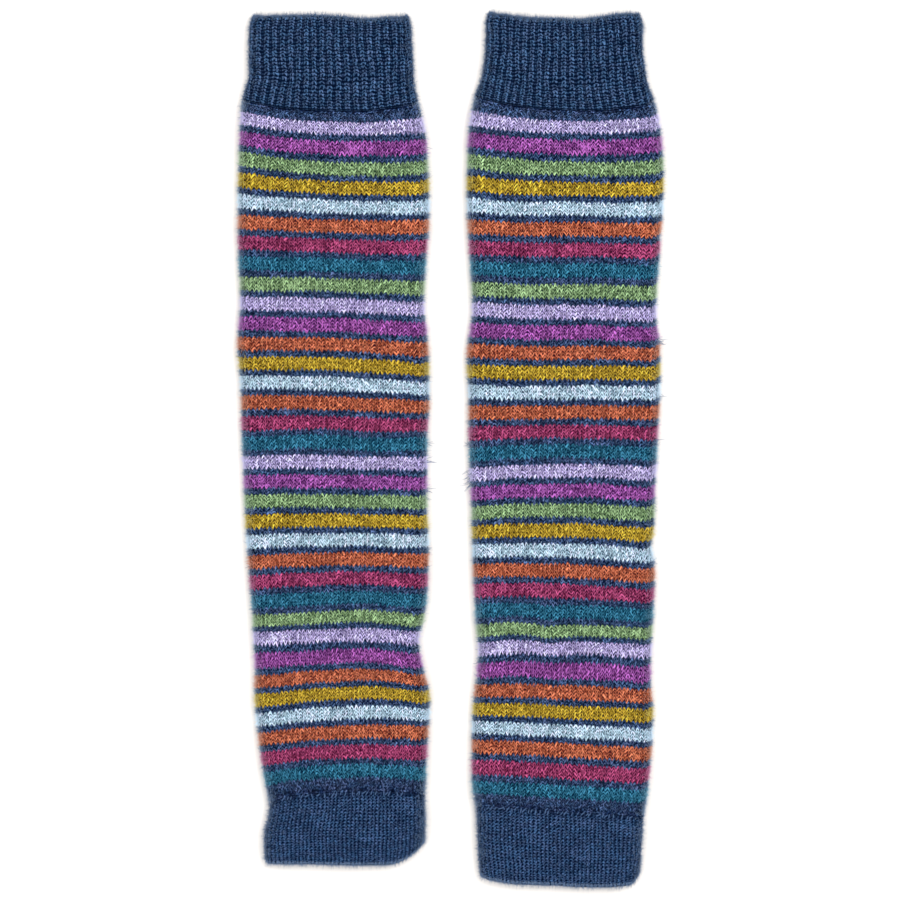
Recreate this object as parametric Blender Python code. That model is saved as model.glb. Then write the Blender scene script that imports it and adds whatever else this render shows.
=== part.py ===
# A pair of knitted leg warmers laid flat, side by side, as seen from above.
# X runs across the pair, Y along the legs with the wide ribbed ends at the top, and Z up from the
# surface that they lie on. Each leg warmer is one tube in three stretches: a 1x1 rib cuff, a
# striped plain-knit leg and a doubled plain-knit hem. Every stretch is a cloth wall that goes all
# round, open at both ends, with its two layers lying on each other.

import math
from collections import namedtuple

import bmesh
import bpy
import numpy as np

MM = 0.001

# Knitting counts. A course is one row of stitches, and a rib is one knit and one purl column.
RIBS_ROUND = 42
CUFF_START, LEG_START, HEM_START, HEM_END = -26.0, 0.0, 211.0, 235.0

# Cloth walls and gaps, in millimetres.
CUFF_WALL = 1.9
LEG_WALL = 1.9
HEM_WALL = 2.3
RIB_RELIEF = 0.8
RIB_RELIEF_AT_FOLD = 0.4
SEAM_GAP = 0.3
RIM_ROUNDING = 0.5

# The top layer is crowned by this much at its middle, in millimetres. A higher power keeps the
# crown level for longer before it drops to the folds.
CROWN = 0.5
CROWN_POWER = 4

# How finely each stretch is faceted, and the angle in degrees past which an edge shades sharp.
SHARP_ANGLE = 50
POINTS_PER_RIB = 4
TOP_POINTS = 12
FOLD_POINTS = 6
UNDER_POINTS = 10
CUFF_COURSES = (-26.0, -25.3, -22.0, -13.0, -5.0, -1.6, 0.0)
LEG_COURSES = (0.0, 1.0, 2.6, 6.0, 12.0) + tuple(range(21, 157, 9)) + (
    159.0, 163.0, 168.0, 177.0, 186.0, 195.0, 202.0, 207.0, 209.6, 211.0)
HEM_COURSES = (211.0, 212.6, 216.0, 222.0, 228.0, 232.0, 234.2, 235.0)

# One row for each measured cross-section, in millimetres from the middle of the pair: the course,
# the two fold edges, and how far up the pair that course lies at the left fold, in the middle and
# at the right fold. The course lines sag or arch as the cloth was laid down.
Section = namedtuple("Section", "course left right y_left y_middle y_right")
LEFT_SECTIONS = [Section(*row) for row in (
    (-26, -100.5, -19.2, 217.5, 217.8, 216.8),
    (-13, -101.2, -18.2, 194.0, 193.8, 193.8),
    (-4, -102.8, -17.0, 180.2, 176.5, 179.5),
    (0, -104.0, -15.5, 174.8, 170.0, 173.8),
    (6, -105.0, -12.5, 166.0, 161.4, 162.8),
    (18, -105.8, -10.8, 145.8, 140.8, 141.5),
    (30, -106.5, -9.8, 124.3, 121.8, 121.5),
    (48, -105.8, -11.8, 93.5, 92.2, 91.2),
    (60, -105.0, -12.5, 73.5, 72.3, 70.5),
    (72, -106.5, -10.5, 53.5, 52.8, 50.0),
    (84, -105.0, -10.0, 33.8, 33.2, 30.5),
    (102, -104.2, -10.8, 3.2, 3.5, 3.5),
    (120, -103.0, -11.2, -25.5, -25.4, -26.0),
    (138, -101.2, -10.8, -56.0, -54.4, -55.5),
    (156, -98.8, -13.2, -85.8, -83.2, -85.5),
    (163, -98.5, -16.0, -96.0, -93.8, -95.8),
    (168, -97.8, -14.0, -106.0, -103.1, -105.8),
    (180, -97.8, -9.8, -125.5, -121.9, -123.5),
    (192, -96.2, -10.5, -144.8, -141.5, -141.0),
    (204, -93.5, -11.5, -164.2, -160.8, -161.0),
    (211, -91.2, -12.0, -174.8, -171.2, -170.8),
    (223, -93.5, -11.5, -191.8, -190.8, -190.2),
    (235, -93.2, -11.8, -206.8, -208.5, -207.5),
)]
RIGHT_SECTIONS = [Section(*row) for row in (
    (-26, 17.5, 96.2, 218.2, 216.2, 218.5),
    (-13, 16.8, 97.2, 194.2, 192.2, 194.5),
    (-4, 13.8, 100.2, 180.8, 176.0, 179.2),
    (0, 12.0, 102.2, 176.2, 170.2, 173.2),
    (6, 9.8, 104.8, 165.2, 161.8, 163.8),
    (18, 8.0, 107.0, 144.0, 140.9, 141.2),
    (30, 8.0, 106.8, 122.2, 120.4, 120.0),
    (48, 9.8, 104.5, 91.0, 89.5, 89.0),
    (60, 10.8, 103.0, 70.2, 69.0, 67.5),
    (72, 8.2, 104.8, 49.8, 48.6, 48.0),
    (84, 8.8, 105.2, 29.3, 28.8, 28.1),
    (102, 9.2, 103.2, -2.2, -0.5, -2.2),
    (120, 10.5, 102.0, -31.0, -30.2, -32.5),
    (138, 11.2, 102.5, -59.8, -60.4, -63.5),
    (156, 13.0, 101.0, -89.8, -90.1, -92.2),
    (163, 13.8, 100.5, -100.8, -100.2, -102.5),
    (168, 12.8, 100.2, -110.2, -110.2, -112.8),
    (180, 11.2, 101.8, -129.5, -131.1, -133.2),
    (192, 10.5, 101.0, -148.0, -150.2, -153.0),
    (204, 10.8, 99.0, -168.8, -171.1, -173.8),
    (211, 12.2, 97.5, -179.2, -181.2, -180.8),
    (223, 12.8, 96.5, -196.8, -199.8, -198.8),
    (235, 14.0, 95.8, -214.2, -218.4, -217.2),
)]

# How high the flattened tube stands at each course, in millimetres: pulled in at both seams,
# puffed out just below the cuff and above the hem, and thin at the two open ends.
Height = namedtuple("Height", "course height")
HEIGHTS = [Height(*row) for row in (
    (-26, 4.6),
    (-22, 5.2),
    (-5, 5.0),
    (0, 4.3),
    (4, 6.4),
    (14, 5.8),
    (40, 5.2),
    (110, 5.0),
    (163, 5.8),
    (190, 5.2),
    (206, 6.0),
    (211, 5.0),
    (216, 6.2),
    (230, 6.0),
    (235, 5.2),
)]

# The hem's corners, in millimetres: how far in from the fold the corner starts to turn up, and how
# far it has turned up at the fold itself. The powers say how it grows towards the fold and down
# the hem.
CURL_POWER, DOWN_POWER = 1.75, 2
Corner = namedtuple("Corner", "run rise")
LEFT_CORNERS = (Corner(4.0, 2.0), Corner(18.0, 13.2))
RIGHT_CORNERS = (Corner(5.0, 2.0), Corner(6.0, 3.5))

# The middle of the pair's outline in the frame of the tables, in millimetres.
PAIR_CENTRE_X, PAIR_CENTRE_Y = 0.322, -0.081

NAVY = (0.030, 0.062, 0.150)
STRIPED_MEAN = (0.13, 0.10, 0.16)
YARN_ROUGHNESS = 0.9


def row_at(table, course):
    """The table's row at any course, with each column on a smooth curve through the rows."""
    rows = np.array(table, float)
    at = rows[:, 0]
    slopes = np.gradient(rows, at, axis=0)
    i = min(max(int(np.searchsorted(at, course)) - 1, 0), len(at) - 2)
    step = at[i + 1] - at[i]
    t = (course - at[i]) / step
    values = (
        (2 * t**3 - 3 * t**2 + 1) * rows[i]
        + (t**3 - 2 * t**2 + t) * step * slopes[i]
        + (3 * t**2 - 2 * t**3) * rows[i + 1]
        + (t**3 - t**2) * step * slopes[i + 1]
    )
    return type(table[0])(*values.tolist())


def corner_rise(corner, from_fold, course):
    """How far a hem corner has turned up, this far in from the fold."""
    down_the_hem = max(0.0, (course - HEM_START) / (HEM_END - HEM_START))
    near = max(0.0, 1.0 - from_fold / corner.run)
    return corner.rise * near**CURL_POWER * down_the_hem**DOWN_POWER


def course_line(section, corners, x):
    """How far up the pair a course lies at this distance across."""
    across = (x - section.left) / (section.right - section.left) - 0.5
    tilt = section.y_right - section.y_left
    sag = 2 * (section.y_left + section.y_right - 2 * section.y_middle)
    y = section.y_middle + tilt * across + sag * across**2
    left_rise = corner_rise(corners[0], x - section.left, section.course)
    right_rise = corner_rise(corners[1], section.right - x, section.course)
    return y + left_rise + right_rise


def around(ribbed):
    """The places round a ring, as (stretch, share): over the top from the left, down the right
    fold, back along the underside and up the left fold."""
    top = RIBS_ROUND // 2 * POINTS_PER_RIB if ribbed else TOP_POINTS
    counts = (("top", top), ("right", FOLD_POINTS), ("under", UNDER_POINTS), ("left", FOLD_POINTS))
    return [(stretch, i / count) for stretch, count in counts for i in range(count)]


def on_ring(place, half_width, radius, crown):
    """(across, up) and the outward direction of one place on a flattened ring of this size, whose
    underside lies at zero."""
    stretch, share = place
    flat = half_width - radius
    if stretch == "top":
        across = flat * (2 * share - 1)
        bulge = crown * (1 - (2 * share - 1) ** CROWN_POWER)
        return across, 2 * radius + bulge, 0.0, 1.0
    if stretch == "under":
        return flat * (1 - 2 * share), 0.0, 0.0, -1.0
    turn = math.pi * share
    side = 1.0 if stretch == "right" else -1.0
    out, up = math.sin(turn) * side, math.cos(turn) * side
    return side * flat + radius * out, radius + radius * up, out, up


def rib_height(place):
    """How far a rib stands out at this place: full on top, nothing on the underside."""
    stretch, share = place
    if stretch == "under":
        return 0.0
    if stretch != "top":
        lifted = 1 - share if stretch == "right" else share
        return RIB_RELIEF_AT_FOLD * max(0.0, 2 * lifted - 1)
    ribs_along = share * RIBS_ROUND / 2
    return RIB_RELIEF * (0.5 - 0.5 * math.cos(2 * math.pi * ribs_along))


def ring_points(side, course, wall, ribbed, seam_shift, at_rim, inner):
    """One ring of a stretch, in metres. The ribs end, and the edge is rounded, at a rim."""
    sections, corners = side
    section = row_at(sections, course)
    body_height = row_at(HEIGHTS, course).height - (RIB_RELIEF if ribbed else 0.0)
    inset = wall if inner else 0.0
    half_width = (section.right - section.left) / 2
    middle = (section.left + section.right) / 2
    points = []
    for place in around(ribbed):
        across, up, out_x, out_z = on_ring(
            place, half_width - inset, body_height / 2 - inset, CROWN)
        if not inner and at_rim and place[0] != "under":
            across -= RIM_ROUNDING * out_x
            up -= RIM_ROUNDING * max(out_z, 0.0)
        elif not inner and not at_rim and ribbed:
            across += rib_height(place) * out_x
            up += rib_height(place) * out_z
        x = middle + across
        y = course_line(section, corners, x) + seam_shift
        points.append(((x - PAIR_CENTRE_X) * MM, (y - PAIR_CENTRE_Y) * MM, (up + inset) * MM))
    return points


def add_stretch(name, side, courses, wall, ribbed, gap_at_start, gap_at_end, finish):
    """One stretch of a tube: an outer and an inner grid of rings, joined by a rim at each end."""
    mesh = bmesh.new()
    shifts = {course: 0.0 for course in courses}
    shifts[courses[0]] = -SEAM_GAP / 2 if gap_at_start else 0.0
    shifts[courses[-1]] = SEAM_GAP / 2 if gap_at_end else 0.0
    grids = []
    for inner in (False, True):
        rings = []
        for course, shift in shifts.items():
            at_rim = course in (courses[0], courses[-1])
            points = ring_points(side, course, wall, ribbed, shift, at_rim, inner)
            rings.append([mesh.verts.new(point) for point in points])
        grids.append(rings)
    outer, inner = grids
    count = len(outer[0])
    for j in range(len(courses) - 1):
        for i in range(count):
            k = (i + 1) % count
            mesh.faces.new((outer[j][i], outer[j + 1][i], outer[j + 1][k], outer[j][k]))
            mesh.faces.new((inner[j][k], inner[j + 1][k], inner[j + 1][i], inner[j][i]))
    for i in range(count):
        k = (i + 1) % count
        mesh.faces.new((outer[0][i], outer[0][k], inner[0][k], inner[0][i]))
        mesh.faces.new((outer[-1][k], outer[-1][i], inner[-1][i], inner[-1][k]))
    data = bpy.data.meshes.new(name)
    mesh.to_mesh(data)
    mesh.free()
    data.shade_smooth()
    data.set_sharp_from_angle(angle=math.radians(SHARP_ANGLE))
    data.materials.append(finish)
    made = bpy.data.objects.new(name, data)
    bpy.context.scene.collection.objects.link(made)
    return made


def yarn_finish(name, colour):
    """A matt yarn of one colour."""
    material = bpy.data.materials.new(name)
    material.use_nodes = True
    shader = material.node_tree.nodes["Principled BSDF"]
    shader.inputs["Base Color"].default_value = (*colour, 1.0)
    shader.inputs["Roughness"].default_value = YARN_ROUGHNESS
    shader.inputs["Metallic"].default_value = 0.0
    return material


def build_leg_warmer(side_name, side):
    """The rib cuff, the leg and the hem of one leg warmer, 0.3 mm apart at their seams."""
    add_stretch(f"{side_name}_top_cuff", side, CUFF_COURSES, CUFF_WALL, True, False, True,
                yarn_finish(f"{side_name}_rib_navy", NAVY))
    add_stretch(f"{side_name}_leg", side, LEG_COURSES, LEG_WALL, False, True, True,
                yarn_finish(f"{side_name}_striped", STRIPED_MEAN))
    add_stretch(f"{side_name}_bottom_cuff", side, HEM_COURSES, HEM_WALL, False, True, False,
                yarn_finish(f"{side_name}_hem_navy", NAVY))


for leftover in list(bpy.data.objects):
    bpy.data.objects.remove(leftover)
build_leg_warmer("left", (LEFT_SECTIONS, LEFT_CORNERS))
build_leg_warmer("right", (RIGHT_SECTIONS, RIGHT_CORNERS))
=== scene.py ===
# A pair of knitted leg warmers laid flat, side by side, seen from straight above.
import math

import bmesh
import bpy
import numpy as np
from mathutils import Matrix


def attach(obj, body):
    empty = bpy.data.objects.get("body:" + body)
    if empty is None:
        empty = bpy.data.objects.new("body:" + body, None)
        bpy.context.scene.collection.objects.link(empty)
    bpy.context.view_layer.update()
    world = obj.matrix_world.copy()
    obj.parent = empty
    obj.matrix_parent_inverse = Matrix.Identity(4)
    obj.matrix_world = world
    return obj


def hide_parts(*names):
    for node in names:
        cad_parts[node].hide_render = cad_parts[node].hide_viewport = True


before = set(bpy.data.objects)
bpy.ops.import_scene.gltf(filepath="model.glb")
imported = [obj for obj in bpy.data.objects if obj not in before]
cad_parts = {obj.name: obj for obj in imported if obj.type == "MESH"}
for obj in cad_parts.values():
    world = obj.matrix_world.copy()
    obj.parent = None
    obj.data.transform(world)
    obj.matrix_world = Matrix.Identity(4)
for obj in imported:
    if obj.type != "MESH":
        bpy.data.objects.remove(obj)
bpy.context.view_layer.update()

mm = 0.001

# How each leg warmer lies. Courses count the rows of stitches down from the seam under the rib.
legWarmers = {
    "left": {
        "sections": [  # course, left fold, right fold, then how far up it lies at left, middle, right, in mm
            (-26, -100.5, -19.2, 216.8, 217.0, 216.1),
            (-13, -101.2, -18.2, 193.99, 193.75, 193.76),
            (-4, -102.8, -17, 180.08, 176.01, 179.07),
            (0, -104, -15.5, 174.63, 169.32, 173.19),
            (6, -105, -12.5, 165.83, 160.72, 162.19),
            (18, -105.8, -10.8, 145.65, 140.32, 140.99),
            (30, -106.5, -9.8, 124.22, 121.61, 121.02),
            (48, -105.8, -11.8, 93.5, 92.21, 90.69),
            (60, -105, -12.5, 73.39, 72.28, 70.08),
            (72, -106.5, -10.5, 53.28, 52.7, 49.75),
            (84, -105, -10, 33.6, 33.12, 30.18),
            (102, -104.2, -10.8, 3.32, 3.62, 2.64),
            (120, -103, -11.2, -25.57, -25.29, -26.72),
            (138, -101.2, -10.3, -56.05, -54.24, -55.41),
            (156, -98.8, -12.7, -86.11, -83.21, -85.05),
            (163, -98.5, -15.2, -96.46, -93.82, -95.49),
            (168, -97.8, -13.8, -106.46, -103.06, -105.6),
            (180, -97.8, -9.8, -125.56, -121.47, -123.6),
            (192, -95.9, -10.5, -144.32, -140.72, -141.31),
            (204, -93.1, -11.5, -163.7, -160.1, -161.8),
            (211, -90.8, -12, -175.2, -171.2, -172.2),
            (223, -93.2, -11.8, -191.9, -190.67, -190.5),
            (235, -92.9, -12.4, -206.5, -207.2, -206.7),
        ],
        "corners": ((3.4, 1.5), (18.0, 9.7)),  # hem corner at each fold: how far in it starts, how far up, mm
        "foldRise": ((4.0, 0.0), (4.5, 0.9)),  # how near the left and right folds rows turn up, mm
        "nips": (  # fold, course, how many courses long, how far in, mm
            (-1, -26, 1.6, 1.3), (1, -26, 1.6, 1.3), (-1, -9, 4, 1.1), (-1, 112, 6, 0.3),
            (1, 100, 5, 0.5), (-1, 33, 3, 0.4), (1, 238, 3.5, 1.0),
        ),
        "sways": (  # place in mm, how wide and long, how far up the rows are drawn there, mm
            (-70, 4, 12, 9, 0.7), (-41, 4, 11, 9, -0.6), (-18, 4, 6, 9, 0.5),
            (-99, -103, 7, 30, 0.8), (-72, -103, 14, 28, -0.2), (-41, -100, 11, 28, 0.5),
            (-17, -103, 7, 26, -0.5), (-90, -172, 6, 9, -1.4), (-14, -168, 5, 8, -0.9),
            (-42, 217, 10, 8, -1.3),
        ),
        "creases": (  # from and to in mm, how wide and how deep in mm, less than 0 for a ridge
            (-14, -93, -30, -99, 3.0, 0.7), (-20, -104, -40, -108, 4.0, 0.3),
            (-104, -60, -88, -64, 2.6, 0.35), (-52, -70, -56, -122, 5.0, 0.3),
            (-92, 167, -88, 148, 2.4, 0.4), (-74, 164, -75, 150, 2.0, 0.3), (-47, 163, -45, 142, 2.6, 0.4),
            (-27, 164, -28, 150, 2.2, 0.35), (-83, -170, -81, -150, 2.4, 0.35),
            (-58, -169, -60, -156, 2.2, 0.3), (-30, -168, -27, -148, 2.6, 0.4),
            (-108, 60, -94, 57, 2.5, 0.3), (-8, 20, -22, 17, 2.5, 0.3),
        ),
        "seed": 21,
    },
    "right": {
        "sections": [
            (-26, 17.5, 96.5, 217.7, 215.7, 218.0),
            (-13, 16.8, 96.9, 194.22, 192.16, 194.49),
            (-4, 13.9, 99.9, 180.97, 175.64, 179.06),
            (0, 12, 102.2, 176.43, 169.69, 173),
            (6, 9.8, 104.8, 165.43, 161.29, 163.6),
            (18, 8.2, 107, 144.14, 140.55, 141.3),
            (30, 8.2, 106.8, 122.34, 120.28, 120.31),
            (48, 9.8, 104.5, 91.14, 89.47, 89.15),
            (60, 10.8, 103.3, 70.1, 68.83, 67.73),
            (72, 8.2, 105.2, 49.58, 48.36, 48.43),
            (84, 8.8, 105.3, 29.13, 28.65, 28.63),
            (102, 9.2, 103.7, -2.55, -0.4, -1.95),
            (120, 10.5, 102.5, -31.62, -30.07, -32.49),
            (138, 11.2, 102.7, -60.08, -60.27, -63.25),
            (156, 13, 101.4, -89.75, -89.9, -92.42),
            (163, 13.8, 101, -100.66, -100.01, -102.72),
            (168, 12.8, 100.6, -109.97, -109.99, -112.92),
            (180, 11.2, 101.8, -129.01, -130.7, -132.81),
            (192, 10.5, 101, -147.5, -149.66, -152.4),
            (204, 10.8, 99, -168.3, -170.43, -173.4),
            (211, 12.4, 97.4, -178.2, -180.6, -184.2),
            (223, 13.2, 96.3, -196.6, -199.7, -199.6),
            (235, 14.3, 95.4, -214.0, -218.1, -217.0),
        ],
        "corners": ((5.0, 2.0), (6.5, 3.9)),
        "foldRise": ((4.0, 0.0), (4.2, 1.8)),
        "nips": (
            (-1, -26, 1.6, 1.2), (1, -26, 1.6, 1.2), (1, 130, 3.5, 1.8), (-1, 170, 4, 0.5), (1, 38, 3, 0.5),
        ),
        "sways": (
            (35, 80, 12, 50, -0.35), (72, 80, 14, 50, 0.35), (102, 80, 6, 50, -0.35),
            (17, -100, 6, 24, -0.4), (31, -100, 9, 24, 0.4), (50, -100, 8, 22, -0.6),
            (48.5, -90, 4, 14, -1.0), (53, -117, 3, 8, -0.6), (24, 217, 10, 8, 0.7), (64, 217, 6, 8, -0.6),
            (84, 217, 8, 8, 0.9), (94.6, 217, 1.9, 7, -2.0), (31, -215, 9, 8, -0.5), (54, -218, 6, 8, 0.5),
            (80, -217, 9, 8, -0.4),
        ),
        "creases": (
            (47, -82, 51, -118, 3.4, 0.8), (38, -84, 41, -112, 4.0, -0.35), (56, -92, 61, -116, 4.0, -0.25),
            (107, -46, 92, -50, 2.8, 0.6), (9, -103, 24, -107, 2.6, 0.35),
            (24, 166, 26, 146, 2.4, 0.4), (45, 163, 44, 150, 2.0, 0.3), (66, 162, 68, 143, 2.6, 0.4),
            (88, 165, 87, 149, 2.2, 0.35), (27, -176, 29, -156, 2.4, 0.4), (55, -178, 53, -164, 2.2, 0.3),
            (82, -177, 84, -158, 2.6, 0.4), (109, 72, 95, 69, 2.5, 0.3), (7, 30, 20, 27, 2.5, 0.3),
        ),
        "seed": 58,
    },
}

tube = {
    "heights": [  # course and how high the flattened tube stands there, mm
        (-26, 4.6), (-22, 5.2), (-5, 5.0), (0, 4.3), (4, 6.4), (14, 5.8), (40, 5.2), (110, 5.0),
        (163, 5.8), (190, 5.2), (206, 6.0), (211, 5.0), (216, 6.2), (230, 6.0), (235, 5.2),
    ],
    "crown": 0.5,
    "crownPower": 4,
    "underFuzz": 0.75,  # how far within the fuzzy edge each fold lies, mm
    "centre": (0.322, -0.081),  # middle of the pair in the frame of the sections, mm
    "hemCourses": (211, 235),
    "cornerCurl": 1.9,  # powers that a hem corner rises by, towards the fold and down the hem
    "cornerOnset": 2,
    "cornerPast": 1.2,  # it still grows so far past the fold and past the last course
    "foldWave": (0.5, 6, 7),  # how much the rise at a fold differs, courses for each wave, seed
    "creaseEnds": 0.7,  # a crease keeps its depth nearer to its ends the lower this is
    "wave": (0.3, 14.0, 11.0),  # slow waves in the rows: mm up, mm across and courses along
    "swell": (0.25, 17.0, 19.0),  # slow swells of the top layer, the same way
    "pucker": (0.3, 3.2, 4.0),  # gathers beside the seams: mm up, mm across, courses until they fade
}


def tableAt(table, course):
    # the values at a course, on smooth curves through the table's rows
    rows = np.array(table, float)
    at = rows[:, 0]
    slopes = np.gradient(rows, at, axis=0)
    i = np.clip(np.searchsorted(at, course) - 1, 0, len(at) - 2)
    step = (at[i + 1] - at[i])[..., None]
    t = (course - at[i])[..., None] / step
    return ((2 * t**3 - 3 * t**2 + 1) * rows[i] + (t**3 - 2 * t**2 + t) * step * slopes[i]
            + (3 * t**2 - 2 * t**3) * rows[i + 1] + (t**3 - t**2) * step * slopes[i + 1])


def softNoise(x, y, seed):
    # smooth noise from -1 to 1 with a new value at each whole step
    lattice = np.random.default_rng(seed).uniform(-1, 1, (128, 256))
    i, j = np.floor(x).astype(int), np.floor(y).astype(int)
    s, t = x - i, y - j
    s, t = s * s * (3 - 2 * s), t * t * (3 - 2 * t)
    low = lattice[i % 128, j % 256] * (1 - s) + lattice[(i + 1) % 128, j % 256] * s
    high = lattice[i % 128, (j + 1) % 256] * (1 - s) + lattice[(i + 1) % 128, (j + 1) % 256] * s
    return low * (1 - t) + high * t


def foldsAt(leg, course):
    # the section at a course, and where its left and right folds lie
    section = tableAt(leg["sections"], course)
    left, right = section[..., 1] + tube["underFuzz"], section[..., 2] - tube["underFuzz"]
    for fold, nipCourse, run, inward in leg["nips"]:
        nip = inward * np.exp(-(((course - nipCourse) / run) ** 2))
        left, right = (left + nip, right) if fold < 0 else (left, right - nip)
    return section, left, right


def tubeForm(leg, course, ribs):
    # radius of the folds, half the flat run between them, and the girth all round
    left, right = foldsAt(leg, course)[1:]
    radius = (tableAt(tube["heights"], course)[..., 1] - ribs) / 2
    flat = (right - left) / 2 - radius
    return radius, flat, 4 * flat + 2 * math.pi * radius


def rowLine(leg, section, left, right, course, x):
    # how far up a row lies at this distance across
    yLeft, yMiddle, yRight = (section[..., k] for k in (3, 4, 5))
    t = (x - left) / (right - left) - 0.5
    y = yMiddle + (yRight - yLeft) * t + 2 * (yLeft + yRight - 2 * yMiddle) * t**2
    first, last = tube["hemCourses"]
    past = tube["cornerPast"]
    down = np.clip((course - first) / (last - first), 0, past) ** tube["cornerOnset"]
    for fromFold, (run, rise) in zip((x - left, right - x), leg["corners"]):
        y = y + rise * np.clip(1 - fromFold / run, 0, past) ** tube["cornerCurl"] * down
    height, across, along = tube["wave"]
    y = y + height * softNoise(x / across, course / along, leg["seed"])
    differs, along, seed = tube["foldWave"]
    uneven = 1 + differs * softNoise(course / along, course * 0, seed)
    for fromFold, (run, rise) in zip((x - left, right - x), leg["foldRise"]):
        y = y + rise * np.clip(1 - fromFold / run, 0, 1) ** 2 * uneven
    for swayX, swayY, wide, long, up in leg["sways"]:
        y = y + up * np.exp(-(((x - swayX) / wide) ** 2) - ((y - swayY) / long) ** 2)
    return y


def troughs(leg, x, y, course):
    # how far the top layer lies below its plain form: creases, swells, and gathers at the seams
    deep = np.zeros_like(x)
    for x0, y0, x1, y1, wide, sunk in leg["creases"]:
        length = math.hypot(x1 - x0, y1 - y0)
        ux, uy = (x1 - x0) / length, (y1 - y0) / length
        along = (x - x0) * ux + (y - y0) * uy
        aside = (x - x0) * uy - (y - y0) * ux
        fade = np.clip(np.sin(math.pi * np.clip(along / length, 0, 1)), 0, 1) ** tube["creaseEnds"]
        deep = deep + sunk * fade * np.exp(-((aside / wide) ** 2))
    height, across, along = tube["swell"]
    deep = deep - height * softNoise(x / across, course / along, leg["seed"] + 40)
    height, across, fadeOver = tube["pucker"]
    fromSeam = np.minimum(np.abs(course), np.abs(course - tube["hemCourses"][0]))
    return deep - height * softNoise(x / across, x * 0 + 0.5, leg["seed"] + 41) * np.exp(-fromSeam / fadeOver)


def clothPoints(leg, share, course, lift, ribs=0.0):
    # share runs round the tube from -0.5 to 0.5, with 0 at the middle of the top layer
    section, left, right = foldsAt(leg, course)
    radius, flat, girth = tubeForm(leg, course, ribs)
    along = ((share + 0.5) % 1.0 - 0.5) * girth
    side, reach = np.sign(along), np.abs(along)
    turn = np.clip((reach - flat) / radius, 0, math.pi)
    past = np.maximum(reach - flat - math.pi * radius, 0)
    across = side * (np.minimum(reach, flat) + radius * np.sin(turn) - past)
    crown = tube["crown"] * (1 - np.minimum(reach / flat, 1) ** tube["crownPower"])
    x = (left + right) / 2 + across + lift * side * np.sin(turn)
    y = rowLine(leg, section, left, right, course, x)
    onTop = np.clip((1 + np.cos(turn)) / 2, 0, 1) ** 2
    up = radius + radius * np.cos(turn) + crown - troughs(leg, x, y, course) * onTop
    z = up + lift * np.cos(turn)
    return np.stack([x - tube["centre"][0], y - tube["centre"][1], z], axis=-1) * mm


# Stitches as charts of height: lines from a row's upper edge down, entries from the edge of the
# column of stitches to its middle.
plainStitch = {
    "chart": ((0.0, 0.15, 0.2, 0.1), (0.35, 0.95, 0.85, 0.55), (0.25, 1.0, 0.95, 0.45)),
    "columns": (0, 0.5, 1),
    "arch": 1.4,  # above 1 the yarn arches over at the edge and turns sharply in the middle
}
ribStitch = {
    "chart": ((0.0, 0.1, 0.45, 0.6, 0.7), (0.15, 0.3, 1.0, 0.95, 0.75), (0.05, 0.2, 1.0, 0.55, 0.0)),
    "columns": (0, 0.25, 0.5, 0.75, 1),
    "arch": 1.3,
}
legWales = 84
plainLeg = {
    "wales": legWales, "shownWales": 46, "stitch": plainStitch, "slant": 1.1, "depth": 0.75, "rib": 0.0,
    "wall": 1.9, "scallop": 0.0, "slot": "striped_leg", "replaces": "leg", "underRows": (2, 4),
}
# Each stretch of a tube. Rims are rolled over by so many millimetres where there is one. Under rows are
# those that the flat underside needs, such as the edges of the stripes.
stretches = {
    "top_cuff": {
        "courses": (-26, 0), "wales": 42, "shownWales": 23, "stitch": ribStitch, "slant": -0.15,
        "depth": 0.5, "rib": 0.8, "wall": 1.9, "rims": (0.95, 0.35), "scallop": 0.08, "slot": "rib_navy",
        "replaces": "top_cuff", "underRows": (0,),
    },
    "leg_upper": {**plainLeg, "courses": (0, 106), "rims": (0.35, None)},
    "leg_lower": {**plainLeg, "courses": (106, 211), "rims": (None, 0.45)},
    "bottom_cuff": {
        "courses": (211, 235), "wales": legWales, "shownWales": 46, "stitch": plainStitch, "slant": -0.4,
        "depth": 0.55, "rib": 0.0, "wall": 2.3, "rims": (0.45, 1.1), "scallop": 0.2, "slot": "hem_navy",
        "replaces": "bottom_cuff", "underRows": (0,),
    },
}
knitting = {
    "rowsEach": 3,  # rings of points for each row of stitches
    "coursePitch": 1.65,
    "underEvery": 6,  # the under rows come again after so many
    "underStep": 0.5,  # wales between the points of the underside
    "insideSteps": (16, 6, 10, 6),  # round the inner face: top, right fold, underside, left fold
    "insideRows": 7,  # rows of stitches for each row of points there
    "rollSteps": (30, 60, 90, 120, 150),
    "reliefOverRim": 0.45,  # share of the relief that goes on over a rolled edge
    "rimGap": 0.01,  # in courses, between the stretches
    "rimReach": 4,  # rows that draw in to make room for a rolled edge
    "slantFade": 1.6,  # rows from a rim over which the slant begins
    "calmRows": 3,  # and over which the rows begin to sway
    "edgeFade": 1.5,  # wales over which the relief fades out at the underside
    "scallopRows": 2,
    "proud": 0.04,
    "waleSway": (0.2, 9.0, 0.10),  # slow sway in wales, courses for each sway, jitter of each stitch
    "rowSway": (0.14, 0.22),  # slow and single-stitch jitter of the rows, in courses
    "loose": 0.4,  # how much the stitches' heights differ
    "rightArm": 1.12,  # the right arm of each stitch lies a little prouder than the left
}


def chartAt(stitch, p, q):
    # height in the stitch's chart, p from edge to middle and q from a row's upper edge down
    chart = np.array(stitch["chart"] + stitch["chart"][:1])
    i, j = q * (len(chart) - 1), p * (chart.shape[1] - 1)
    i0, j0 = np.minimum(i.astype(int), len(chart) - 2), np.minimum(j.astype(int), chart.shape[1] - 2)
    s, t = i - i0, j - j0
    return ((chart[i0, j0] * (1 - t) + chart[i0, j0 + 1] * t) * (1 - s)
            + (chart[i0 + 1, j0] * (1 - t) + chart[i0 + 1, j0 + 1] * t) * s)


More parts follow.
